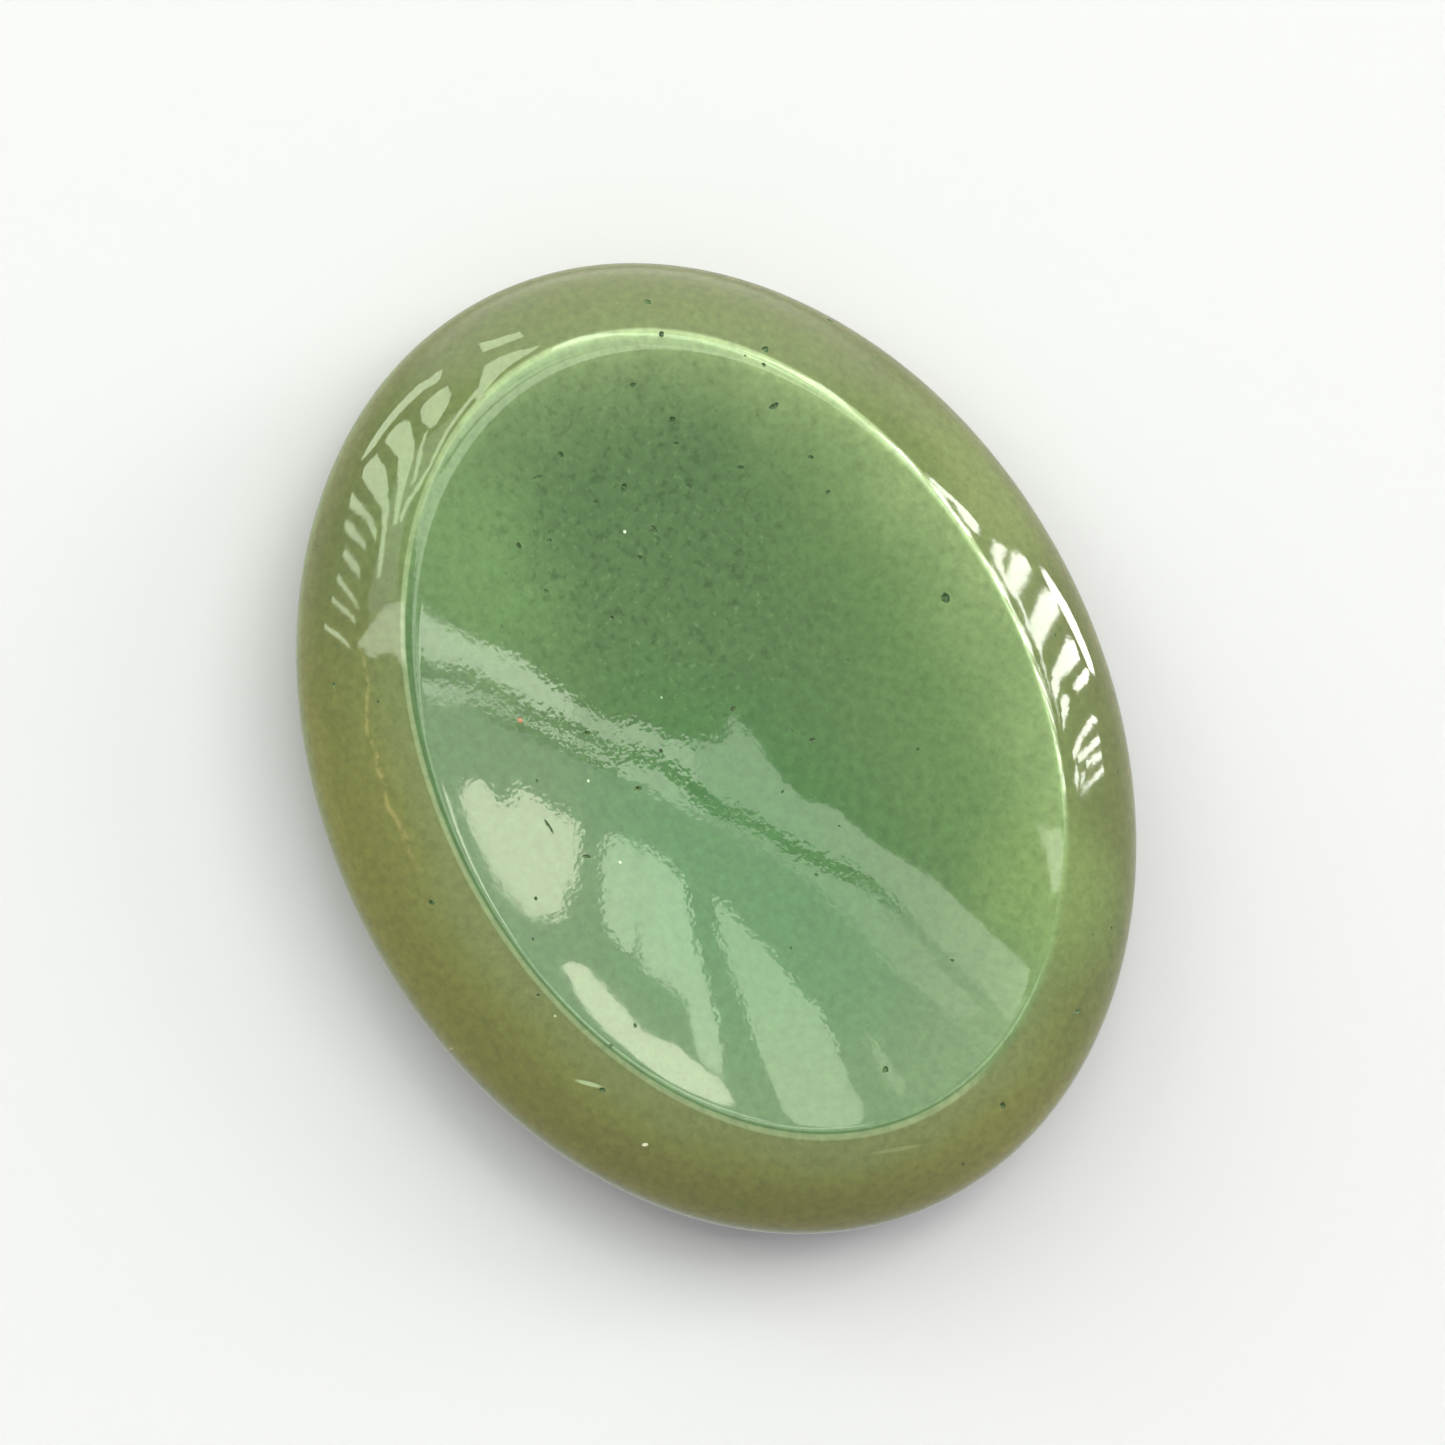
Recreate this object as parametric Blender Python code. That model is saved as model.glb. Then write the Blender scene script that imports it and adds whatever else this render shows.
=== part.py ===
"""Palm stone: an oval pebble of polished green quartz with a shallow hollow for the thumb.

Lengths are in metres. X runs along the stone, Y across it and Z up. The origin is in the middle of
the small flat spot that the stone rests on. The hollow faces up.
"""

import math
from functools import partial

import bmesh
import bpy
from mathutils import Vector

# Outline seen from above
LENGTH = 0.045
WIDTH = 0.0353

# Heights above the flat spot: the widest line, and the ridge before it is rounded over
GIRDLE_HEIGHT = 0.0034
RIDGE_HEIGHT = 0.0078

# Thumb hollow, measured along its ridge, and how far it sits off the middle line
HOLLOW_LENGTH = 0.0368
HOLLOW_WIDTH = 0.0266
HOLLOW_DEPTH = 0.0028
HOLLOW_SHIFT = 0.0005

# The rim turns through this angle from the girdle, where it is upright, to the ridge
RIM_SWEEP = math.radians(62)

# The ridge is rounded where the hollow's wall and the rim come within this height of each other
RIDGE_ROUNDING = 0.0004

# Underside: a gentle dome that turns up to the girdle. The flat spot is a share of the outline,
# and the turned-up edge is a curve of this power.
DOME_RISE = 0.0009
REST_SHARE = 0.31
EDGE_POWER = 13.6

# Polished green aventurine quartz
STONE_COLOUR = (0.190, 0.300, 0.130, 1.0)
STONE_ROUGHNESS = 0.12
STONE_IOR = 1.55

# Rings of the mesh, and how far from the ridge line the ones beside it lie
SEGMENTS = 80
FLOOR_RINGS = 9
RIDGE_STEPS = (0.00010, 0.00026, 0.00045, 0.00070, 0.00100)
RIM_RINGS = 9
RIM_START = math.radians(48)
EDGE_RINGS = 9
EDGE_END = math.radians(84)
DOME_RINGS = 4


def clear_scene():
    """Empties the scene."""
    for old in list(bpy.data.objects):
        bpy.data.objects.remove(old, do_unlink=True)


def girdle_point(angle):
    """The stone's widest line, seen from above."""
    return Vector((LENGTH / 2 * math.cos(angle), WIDTH / 2 * math.sin(angle)))


def hollow_middle():
    """The deepest point of the hollow, seen from above."""
    return Vector((0, HOLLOW_SHIFT))


def hollow_reach(angle):
    """From the middle of the hollow to its ridge, seen from above."""
    return Vector((HOLLOW_LENGTH / 2 * math.cos(angle), HOLLOW_WIDTH / 2 * math.sin(angle)))


def rim_width(angle):
    """From the ridge out to the girdle, seen from above."""
    return (girdle_point(angle) - hollow_middle() - hollow_reach(angle)).length


def hollow_slope(angle):
    """Steepness of the hollow's wall at the ridge."""
    return 2 * HOLLOW_DEPTH / hollow_reach(angle).length


def rim_slope(angle):
    """Steepness of the rim's outer side at the ridge."""
    across = rim_width(angle) / (1 - math.cos(RIM_SWEEP))
    upward = (RIDGE_HEIGHT - GIRDLE_HEIGHT) / math.sin(RIM_SWEEP)
    return upward / across / math.tan(RIM_SWEEP)


def rounded_lower(first, second):
    """The lower of two heights, with the ridge between them rounded over."""
    overlap = max(RIDGE_ROUNDING - abs(first - second), 0)
    return min(first, second) - overlap * overlap / (4 * RIDGE_ROUNDING)


def hollow_point(inside, angle):
    """A point in the hollow, at this distance inside the ridge."""
    reach = hollow_reach(angle)
    share = 1 - inside / reach.length
    floor = RIDGE_HEIGHT - HOLLOW_DEPTH * (1 - share * share)
    rim = RIDGE_HEIGHT + rim_slope(angle) * inside
    height = rounded_lower(floor, rim)
    return (hollow_middle() + reach * share).to_3d() + Vector((0, 0, height))


def floor_point(outward, angle):
    """A point in the hollow, at this share of the way out to the rounding of the ridge."""
    reach = hollow_reach(angle).length
    return hollow_point(reach - (reach - RIDGE_STEPS[-1]) * outward, angle)


def rim_point(turn, angle):
    """A point on the rim, where turn runs from nought at the girdle to RIM_SWEEP at the ridge."""
    inward = (1 - math.cos(turn)) / (1 - math.cos(RIM_SWEEP))
    climb = (RIDGE_HEIGHT - GIRDLE_HEIGHT) * math.sin(turn) / math.sin(RIM_SWEEP)
    wall = RIDGE_HEIGHT + hollow_slope(angle) * rim_width(angle) * (1 - inward)
    height = rounded_lower(GIRDLE_HEIGHT + climb, wall)
    place = girdle_point(angle).lerp(hollow_middle() + hollow_reach(angle), inward)
    return place.to_3d() + Vector((0, 0, height))


def outer_ridge_point(outside, angle):
    """A point on the rim, at this distance outside the ridge."""
    inward = 1 - outside / rim_width(angle)
    return rim_point(math.acos(1 - inward * (1 - math.cos(RIM_SWEEP))), angle)


def under_point(share, turned_up, angle):
    """A point on the underside, at a share of the outline and of the turned-up edge's height."""
    dome = DOME_RISE * (share**2 - REST_SHARE**2) / (1 - REST_SHARE**2)
    height = max(dome + (GIRDLE_HEIGHT - DOME_RISE) * turned_up, 0)
    return (girdle_point(angle) * share).to_3d() + Vector((0, 0, height))


def edge_share(turn):
    """How far out the turned-up edge is, as a share of the outline."""
    return math.cos(turn) ** (2 / EDGE_POWER)


def top_rings():
    """The rings from the middle of the hollow over the ridge and down the rim to the girdle."""
    rings = [partial(floor_point, ring / FLOOR_RINGS) for ring in range(1, FLOOR_RINGS)]
    rings += [partial(hollow_point, step) for step in reversed(RIDGE_STEPS)]
    rings += [partial(outer_ridge_point, step) for step in RIDGE_STEPS]
    for ring in reversed(range(RIM_RINGS)):
        rings.append(partial(rim_point, RIM_START * ring / (RIM_RINGS - 1)))
    return rings


def underside_rings():
    """The rings from below the girdle to the edge of the flat spot."""
    rings = []
    for ring in range(1, EDGE_RINGS + 1):
        turn = EDGE_END * ring / EDGE_RINGS
        rings.append(partial(under_point, edge_share(turn), 1 - math.sin(turn)))
    for ring in range(1, DOME_RINGS + 1):
        inward = (edge_share(EDGE_END) - REST_SHARE) * ring / DOME_RINGS
        rings.append(partial(under_point, edge_share(EDGE_END) - inward, 0))
    return rings


def shape_stone(ball):
    """Moves the rings of a ball, from the top pole down, to the rings of the stone."""
    rings = top_rings() + underside_rings()
    bmesh.ops.create_uvsphere(ball, u_segments=SEGMENTS, v_segments=len(rings) + 1, radius=1)
    for vert in ball.verts:
        down_from_pole = vert.co.angle(Vector((0, 0, 1)))
        ring = round(down_from_pole / math.pi * (len(rings) + 1))
        if ring == 0:
            vert.co = hollow_middle().to_3d() + Vector((0, 0, RIDGE_HEIGHT - HOLLOW_DEPTH))
        elif ring > len(rings):
            vert.co = Vector((0, 0, 0))
        else:
            vert.co = rings[ring - 1](math.atan2(vert.co.y, vert.co.x))


def stone_material():
    """Green quartz, taken to a wet-looking polish."""
    material = bpy.data.materials.new("polished_green_quartz")
    material.use_nodes = True
    shader = material.node_tree.nodes["Principled BSDF"]
    shader.inputs["Base Color"].default_value = STONE_COLOUR
    shader.inputs["Roughness"].default_value = STONE_ROUGHNESS
    shader.inputs["Metallic"].default_value = 0.0
    shader.inputs["IOR"].default_value = STONE_IOR
    return material


def make_stone():
    """The palm stone, one solid."""
    ball = bmesh.new()
    shape_stone(ball)
    bmesh.ops.recalc_face_normals(ball, faces=ball.faces)
    mesh = bpy.data.meshes.new("palm_stone")
    ball.to_mesh(mesh)
    ball.free()
    mesh.shade_smooth()
    mesh.materials.append(stone_material())
    stone = bpy.data.objects.new("palm_stone", mesh)
    bpy.context.scene.collection.objects.link(stone)


clear_scene()
make_stone()
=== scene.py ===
"""Palm stone of polished green aventurine, on a pale floor under soft studio panels.

Lengths are in metres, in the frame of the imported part: X along the stone, Y across it, Z up.
"""

import math
import random

import bpy
from mathutils import Matrix, Vector


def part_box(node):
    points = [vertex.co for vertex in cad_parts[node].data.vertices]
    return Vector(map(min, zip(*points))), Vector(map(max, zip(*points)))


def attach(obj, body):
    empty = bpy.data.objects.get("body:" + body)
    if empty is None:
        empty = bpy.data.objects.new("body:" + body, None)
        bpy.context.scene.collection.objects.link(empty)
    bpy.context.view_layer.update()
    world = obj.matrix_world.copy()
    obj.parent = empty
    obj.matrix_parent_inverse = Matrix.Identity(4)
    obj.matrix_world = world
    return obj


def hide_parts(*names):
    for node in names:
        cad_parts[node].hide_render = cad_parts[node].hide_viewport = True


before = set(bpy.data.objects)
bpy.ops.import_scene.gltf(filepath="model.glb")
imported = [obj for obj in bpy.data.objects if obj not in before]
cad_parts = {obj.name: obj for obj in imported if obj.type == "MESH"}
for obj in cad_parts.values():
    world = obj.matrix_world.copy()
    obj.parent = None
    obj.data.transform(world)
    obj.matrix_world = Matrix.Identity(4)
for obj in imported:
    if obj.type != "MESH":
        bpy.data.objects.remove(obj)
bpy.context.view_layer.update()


# The stone
# One piece of green aventurine, a quartz full of fine mica. It is sawn to an oval, the hollow for
# the thumb is ground out with a small wheel, and all of it is tumbled and buffed to a wet gloss.

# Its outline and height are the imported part's. The ridge round the hollow and the hollow itself are
# ovals, each with its own small shift off the middle.
MM = 0.001
stone_low, stone_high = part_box("palm_stone")
HALF_LENGTH = stone_high.x
HALF_WIDTH = stone_high.y
CREST_HEIGHT = stone_high.z
GIRDLE_HEIGHT = 3.4 * MM
RIDGE_HEIGHT = CREST_HEIGHT + 0.03 * MM
RIDGE_HALF_LENGTH = 18.55 * MM
RIDGE_HALF_WIDTH = 13.3 * MM
RIDGE_SHIFT = (-0.2 * MM, 0.45 * MM)
RIDGE_LIFT = 0.06 * MM
RIDGE_RINGS = 6
HOLLOW_HALF_LENGTH = 17.6 * MM
HOLLOW_HALF_WIDTH = 12.92 * MM
HOLLOW_SHIFT = (0.25 * MM, 0.55 * MM)
HOLLOW_DEPTH = 2.6 * MM
HOLLOW_RINGS = 14
HOLLOW_HEART = 0.03
RIM_SWEEP = math.radians(62)
RIM_RINGS = 8
DOME_RISE = 0.9 * MM
REST_SHARE = 0.31
EDGE_POWER = 13.6
EDGE_RINGS = 10
EDGE_END = math.radians(84)
DOME_RINGS = 5
ROUND = 80
SMOOTHINGS = 2


def select_nothing():
    """Leaves no object selected."""
    for other in bpy.context.selected_objects:
        other.select_set(False)


class Lathe:
    """Draws one oval ring after another out of the last one, as rings of the piece in edit mode."""

    def __init__(self, half_length, half_width, height, shift=(0.0, 0.0)):
        self.oval = (half_length, half_width, height, shift)

    def next_ring(self, half_length, half_width, height, shift=(0.0, 0.0)):
        """Extrudes the selected ring and brings the new one to this size and place."""
        long_before, wide_before, height_before, shift_before = self.oval
        step = (shift[0] - shift_before[0], shift[1] - shift_before[1], height - height_before)
        bpy.ops.mesh.extrude_region_move(TRANSFORM_OT_translate={"value": step})
        bpy.ops.transform.resize(
            value=(half_length / long_before, half_width / wide_before, 1),
            center_override=(*shift, height),
        )
        self.oval = (half_length, half_width, height, shift)


def part_way(first, last, share):
    """A number at this share of the way between two others."""
    return first + (last - first) * share


def rim_oval(turn):
    """The rim's oval where it has turned this far in from the upright girdle."""
    inward = (1 - math.cos(turn)) / (1 - math.cos(RIM_SWEEP))
    return (
        part_way(HALF_LENGTH, RIDGE_HALF_LENGTH, inward),
        part_way(HALF_WIDTH, RIDGE_HALF_WIDTH, inward),
        part_way(GIRDLE_HEIGHT, RIDGE_HEIGHT, math.sin(turn) / math.sin(RIM_SWEEP)),
        (RIDGE_SHIFT[0] * inward, RIDGE_SHIFT[1] * inward),
    )


def ridge_oval(share):
    """The ridge's oval at this share of the way over its rounding, from the rim to the hollow."""
    return (
        part_way(RIDGE_HALF_LENGTH, HOLLOW_HALF_LENGTH, share),
        part_way(RIDGE_HALF_WIDTH, HOLLOW_HALF_WIDTH, share),
        RIDGE_HEIGHT + RIDGE_LIFT * 4 * share * (1 - share),
        (
            part_way(RIDGE_SHIFT[0], HOLLOW_SHIFT[0], share),
            part_way(RIDGE_SHIFT[1], HOLLOW_SHIFT[1], share),
        ),
    )


def hollow_oval(share):
    """The hollow's oval at this share of the way out from its deepest point to the ridge."""
    height = RIDGE_HEIGHT - HOLLOW_DEPTH * (1 - share * share)
    return (HOLLOW_HALF_LENGTH * share, HOLLOW_HALF_WIDTH * share, height, HOLLOW_SHIFT)


def under_oval(share, turned_up):
    """The underside's oval at this share of the outline and of the turned-up edge's height."""
    dome = DOME_RISE * (share**2 - REST_SHARE**2) / (1 - REST_SHARE**2)
    height = max(dome + (GIRDLE_HEIGHT - DOME_RISE) * turned_up, 0)
    return (HALF_LENGTH * share, HALF_WIDTH * share, height)


# It starts as a hoop at the girdle. Rings are drawn up over the rim, over the ridge and down into
# the hollow, and then down over the edge to the flat spot.
select_nothing()
bpy.ops.mesh.primitive_circle_add(vertices=ROUND, radius=1, location=(0, 0, GIRDLE_HEIGHT))
stone = bpy.context.object
stone.name = "polished_palm_stone"
stone.data.name = "polished_palm_stone"
stone.scale = (HALF_LENGTH, HALF_WIDTH, 1)
bpy.ops.object.transform_apply(location=True, rotation=True, scale=True)
bpy.ops.object.mode_set(mode="EDIT")
bpy.ops.mesh.select_mode(type="EDGE")
bpy.ops.mesh.select_all(action="SELECT")

lathe = Lathe(HALF_LENGTH, HALF_WIDTH, GIRDLE_HEIGHT)
for ring in range(1, RIM_RINGS + 1):
    lathe.next_ring(*rim_oval(RIM_SWEEP * ring / RIM_RINGS))
for ring in range(1, RIDGE_RINGS + 1):
    lathe.next_ring(*ridge_oval(ring / RIDGE_RINGS))
for ring in range(1, HOLLOW_RINGS + 1):
    lathe.next_ring(*hollow_oval(1 + (HOLLOW_HEART - 1) * ring / HOLLOW_RINGS))
bpy.ops.mesh.fill_grid(span=ROUND // 4)

bpy.ops.mesh.select_all(action="DESELECT")
bpy.ops.mesh.select_non_manifold()
lathe = Lathe(HALF_LENGTH, HALF_WIDTH, GIRDLE_HEIGHT)
for ring in range(1, EDGE_RINGS + 1):
    edge_turn = EDGE_END * ring / EDGE_RINGS
    lathe.next_ring(*under_oval(math.cos(edge_turn) ** (2 / EDGE_POWER), 1 - math.sin(edge_turn)))
edge_share = math.cos(EDGE_END) ** (2 / EDGE_POWER)
for ring in range(1, DOME_RINGS + 1):
    lathe.next_ring(*under_oval(edge_share + (REST_SHARE - edge_share) * ring / DOME_RINGS, 0))
bpy.ops.mesh.fill_grid(span=ROUND // 4)
bpy.ops.mesh.select_all(action="SELECT")
bpy.ops.mesh.normals_make_consistent(inside=False)

# Extruding leaves the faces in an order that changes from run to run, so they are sorted by how
# far they lie from a point that has no two of them at the same distance
SORTING_POINT = (39.1 * MM, 27.7 * MM, 16.3 * MM)
bpy.context.scene.cursor.location = SORTING_POINT
bpy.ops.mesh.sort_elements(type="CURSOR_DISTANCE", elements={"EDGE", "FACE"})
bpy.context.scene.cursor.location = (0, 0, 0)
bpy.ops.object.mode_set(mode="OBJECT")

smoothing = stone.modifiers.new("smooth_curves", "SUBSURF")
smoothing.levels = SMOOTHINGS
smoothing.render_levels = SMOOTHINGS
bpy.ops.object.modifier_apply(modifier=smoothing.name)
bpy.ops.object.shade_smooth()

# Buffing leaves the face very slightly wavy, which bends what it mirrors
WAVE_LENGTH = 7.0 * MM
WAVE_HEIGHT = 0.03 * MM
waves = bpy.data.textures.new("buffing_waves", "CLOUDS")
waves.noise_scale = WAVE_LENGTH
waves.noise_depth = 1
waviness = stone.modifiers.new("buffing_waves", "DISPLACE")
waviness.texture = waves
waviness.texture_coords = "LOCAL"
waviness.strength = WAVE_HEIGHT
waviness.mid_level = 0.5
bpy.ops.object.modifier_apply(modifier=waviness.name)

# Pits where grains have dropped out in tumbling. Each is cut with a small dented ball. The ones
# that show most are listed by place along and across the stone, length, width and turn. Small ones
# are strewn over the top and the underside.
PITS = [
    (-12.0, 1.1, 0.50, 0.30, 60), (-13.7, 4.3, 0.36, 0.28, 20), (-9.8, 1.5, 0.52, 0.20, 110),
    (-12.7, 4.0, 0.24, 0.18, 0), (-14.5, -0.8, 0.34, 0.28, 80), (-11.8, -4.2, 0.36, 0.22, 45),
    (-11.4, -2.9, 0.26, 0.20, 130), (-9.5, -4.0, 0.24, 0.18, 70), (-15.8, 3.4, 0.28, 0.22, 10),
    (-18.8, 5.7, 0.34, 0.24, 160), (-14.6, 9.3, 0.34, 0.30, 30), (-17.2, 5.5, 0.30, 0.22, 90),
    (-14.0, 8.9, 0.20, 0.16, 0), (-9.5, 9.0, 0.24, 0.18, 40), (-7.8, 9.0, 0.22, 0.20, 75),
    (-10.5, 6.1, 0.32, 0.22, 15), (-12.2, 8.5, 0.52, 0.22, 50), (-9.0, 0.4, 0.24, 0.18, 120),
    (-10.8, 3.7, 0.24, 0.20, 5), (-7.2, -1.9, 0.26, 0.18, 65), (-12.0, -0.3, 0.26, 0.20, 140),
    (-14.1, -2.2, 0.60, 0.14, 152), (-1.2, 1.1, 0.30, 0.20, 35), (0.0, -4.3, 0.34, 0.26, 85),
    (-1.0, -2.6, 0.26, 0.20, 25), (-3.2, -5.2, 0.28, 0.20, 100), (1.6, -7.7, 0.46, 0.16, 55),
    (-0.3, -8.6, 0.80, 0.14, 8), (0.3, -14.7, 0.30, 0.22, 50), (-1.3, 11.5, 0.44, 0.40, 0),
    (19.6, 3.5, 0.36, 0.26, 70), (10.9, -11.8, 0.30, 0.20, 20), (1.6, 3.6, 0.26, 0.22, 95),
    (15.8, -0.4, 0.30, 0.24, 60), (-14.6, 12.9, 0.30, 0.24, 10), (17.5, 8.4, 0.40, 0.18, 120),
]
SMALL_PITS = 60
SMALL_PIT_LENGTHS = (0.10, 0.20)
SMALL_PIT_WIDTH_SHARES = (0.6, 1)
PIT_GAP = 0.8 * MM
PIT_DEPTH_SHARE = 0.35
PIT_DENTS = 0.22
DOWN = Vector((0, 0, -1))
random.seed(11)


def place_ball(spot, outward, length, width, turn):
    """Adds a dented ball that dips into the stone at this spot."""
    select_nothing()
    bpy.ops.mesh.primitive_ico_sphere_add(subdivisions=2, radius=1)
    ball = bpy.context.object
    size = Matrix.Diagonal((length / 2 * MM, width / 2 * MM, width * PIT_DEPTH_SHARE * MM, 1))
    upright = Matrix.Translation(spot) @ outward.to_track_quat("Z", "Y").to_matrix().to_4x4()
    for vertex in ball.data.vertices:
        dented = vertex.co * random.uniform(1 - PIT_DENTS, 1 + PIT_DENTS)
        vertex.co = upright @ Matrix.Rotation(turn, 4, "Z") @ size @ dented
    return ball


bpy.context.view_layer.update()
balls = []
pitted = []
for along, across, length, width, turn in PITS:
    above = Vector((along * MM, across * MM, 0)) - DOWN
    hit, spot, outward, face = stone.ray_cast(above, DOWN)
    balls.append(place_ball(spot, outward, length, width, math.radians(turn)))
    pitted.append(spot)
while len(balls) < len(PITS) + SMALL_PITS:
    look = DOWN * random.choice((1, -1))
    along = random.uniform(-HALF_LENGTH, HALF_LENGTH)
    across = random.uniform(-HALF_WIDTH, HALF_WIDTH)
    hit, spot, outward, face = stone.ray_cast(Vector((along, across, 0)) - look, look)
    if hit and all((spot - other).length > PIT_GAP for other in pitted):
        length = random.uniform(*SMALL_PIT_LENGTHS)
        turn = random.uniform(0, math.pi)
        width = length * random.uniform(*SMALL_PIT_WIDTH_SHARES)
        balls.append(place_ball(spot, outward, length, width, turn))
        pitted.append(spot)
for ball in balls:
    ball.select_set(True)
bpy.context.view_layer.objects.active = balls[0]
bpy.ops.object.join()
pit_cutter = bpy.context.object


def linear(hex_colour):
    """An sRGB hex colour as the linear RGBA that a shader takes."""
    channels = [int(hex_colour[start : start + 2], 16) / 255 for start in (0, 2, 4)]
    return [c / 12.92 if c <= 0.04045 else ((c + 0.055) / 1.055) ** 2.4 for c in channels] + [1.0]


def add_node(material, kind, settings=None, stops=(), **links):
    """Adds a node with its settings and colour stops.

    Each input is linked to a socket or set to a value. It is named by its place, as in _0, or by
    its name, as in From_Min.
    """
    node = material.node_tree.nodes.new(kind)
    for setting, value in (settings or {}).items():
        setattr(node, setting, value)
    for number, (position, colour) in enumerate(stops):
        while len(node.color_ramp.elements) <= number:
            node.color_ramp.elements.new(1.0)
        node.color_ramp.elements[number].position = position
        node.color_ramp.elements[number].color = linear(colour)
    for slot, source in links.items():
        socket = node.inputs[int(slot[1:]) if slot[0] == "_" else slot.replace("_", " ")]
        if isinstance(source, bpy.types.NodeSocket):
            material.node_tree.links.new(source, socket)
        else:
            socket.default_value = source
    return node


# Settings that many of the nodes share, a scale that leaves height out of a zone, and the span
# that the noise mostly fills
SOFTLY = {"interpolation_type": "SMOOTHSTEP"}
BLEND = {"data_type": "RGBA"}
ZONE = {"vector_type": "TEXTURE"}
DISTANCE = {"operation": "LENGTH"}
TOWARDS = {"operation": "DOT_PRODUCT"}
TIMES = {"operation": "MULTIPLY"}
ANY_HEIGHT = 1000
NOISE_LOW = 0.3
NOISE_HIGH = 0.7


# Green aventurine, tumbled and buffed: a clear gloss over a waxy green body that is a little
# translucent. Its colour is painted paler by the ridge, painted light for light that comes in through
# the ridge, and the middle of the hollow stays deep green. The rim is browner: green body colour with
# painted warm light that shows through it. Quartz has a refractive index of 1.54 to 1.55.
CORE_GREEN = "526e45"
LIP_GREEN = "64804f"
PAINTED_LIGHT_GREEN = "bbc793"
TEAL_GREEN = "456f40"
GRAIN_DARK = "2f4a26"
GRAIN_PALE = "8fae78"
# The tan of a painted reflection along the rim
REFLECTED_TAN = "a39660"
QUARTZ_IOR = 1.55
TRANSLUCENCE = 0.5
LIGHT_DEPTH = 0.5 * MM
LIGHT_DEPTH_BY_COLOUR = (0.9, 1.6, 0.8)
aventurine = bpy.data.materials.new("buffed_green_aventurine")
aventurine.use_nodes = True
shader = aventurine.node_tree.nodes["Principled BSDF"]
place = add_node(aventurine, "ShaderNodeTexCoord").outputs["Object"]

# Slow clouds, a few millimetres across, keep the zones from being perfect ovals
CLOUD = 5.0 * MM
CLOUD_DRIFT = (3.0 * MM, 3.0 * MM, 0.8 * MM)
clouds = add_node(aventurine, "ShaderNodeTexNoise", Vector=place, Scale=1 / CLOUD, Detail=2.0)
drift = add_node(aventurine, "ShaderNodeVectorMath", {"operation": "SUBTRACT"},
                 _0=clouds.outputs[1], _1=(0.5, 0.5, 0.5))
drifted = add_node(aventurine, "ShaderNodeVectorMath", {"operation": "MULTIPLY_ADD"},
                   _0=drift.outputs[0], _1=CLOUD_DRIFT, _2=place)
drifted_axes = add_node(aventurine, "ShaderNodeSeparateXYZ", Vector=drifted.outputs[0])

# How far out from the hollow's middle a place lies, where 1 is the ridge: with the clouds' drift
# for the slow changes of colour, and without it for what keeps strictly to the ridge
ridge_place = {
    "Location": (*RIDGE_SHIFT, 0),
    "Scale": (RIDGE_HALF_LENGTH, RIDGE_HALF_WIDTH, ANY_HEIGHT),
}
in_ovals = add_node(aventurine, "ShaderNodeMapping", ZONE, Vector=drifted.outputs[0], **ridge_place)
in_true_ovals = add_node(aventurine, "ShaderNodeMapping", ZONE, Vector=place, **ridge_place)
out_from_heart = add_node(aventurine, "ShaderNodeVectorMath", DISTANCE, _0=in_ovals.outputs[0])
ridge_reach = add_node(aventurine, "ShaderNodeVectorMath", DISTANCE, _0=in_true_ovals.outputs[0])

# The hollow is paler towards one long side, and paler still by the ridge that faces the light,
# where the paler colour is painted light
LIP_FADE = (2.8 * MM, 12.4 * MM)
RIDGE_FADE = (0.62, 1.33)
LIGHT_WAY = (-0.2, 0.42, 0)
LIGHT_ALL_ROUND = 0.26
under_lip = add_node(aventurine, "ShaderNodeMapRange", SOFTLY, Value=drifted_axes.outputs["Y"],
                     From_Min=LIP_FADE[0], From_Max=LIP_FADE[1])
near_ridge = add_node(aventurine, "ShaderNodeMapRange", SOFTLY,
                      Value=out_from_heart.outputs["Value"],
                      From_Min=RIDGE_FADE[0], From_Max=RIDGE_FADE[1])
facing_light = add_node(aventurine, "ShaderNodeVectorMath", TOWARDS,
                        _0=in_ovals.outputs[0], _1=LIGHT_WAY)
lit_share = add_node(aventurine, "ShaderNodeMath", {"operation": "ADD"},
                     _0=facing_light.outputs["Value"], _1=LIGHT_ALL_ROUND)
glow = add_node(aventurine, "ShaderNodeMath", TIMES,
                _0=near_ridge.outputs[0], _1=lit_share.outputs[0])
lip_green = add_node(aventurine, "ShaderNodeMix", BLEND, _0=under_lip.outputs[0],
                     _6=linear(CORE_GREEN), _7=linear(LIP_GREEN))
hollow_green = add_node(aventurine, "ShaderNodeMix", BLEND, _0=glow.outputs[0],
                        _6=lip_green.outputs[2], _7=linear(PAINTED_LIGHT_GREEN))

# Rim and underside, by height in millimetres: browner green on one side of the stone, its body colour
# with painted warm light that shows through it, and deeper green on the other, both a little paler in
# a band at the girdle
RAMP_HEIGHT = 8.0 * MM
BROWN_AND_WARM_LIT_SIDE = [
    (0.0, "626a36"), (2.6, "686d39"), (3.4, "767d4a"), (4.2, "767d4a"), (4.7, "7a783a"),
    (5.1, "787639"), (5.8, "717137"), (6.5, "72723c"), (7.05, "757741"), (7.3, "737949"),
    (7.6, "747b4f"),
]
GREEN_SIDE = [
    (0.0, "69743e"), (2.6, "6f7741"), (3.4, "77824e"), (4.2, "77824e"), (4.7, "6e6f44"),
    (5.1, "686a42"), (5.8, "5e653a"), (6.5, "60683d"), (7.1, "626c3f"), (7.6, "657143"),
]
GREEN_WAY = (-0.707, 0.707, 0)
GREEN_FADE = (-0.6, 0.0)
RIM_FADE = (0.985, 1.015)
rim_height = add_node(aventurine, "ShaderNodeMath", {"operation": "DIVIDE"},
                      _0=drifted_axes.outputs["Z"], _1=RAMP_HEIGHT)
rim_tones = []
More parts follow.
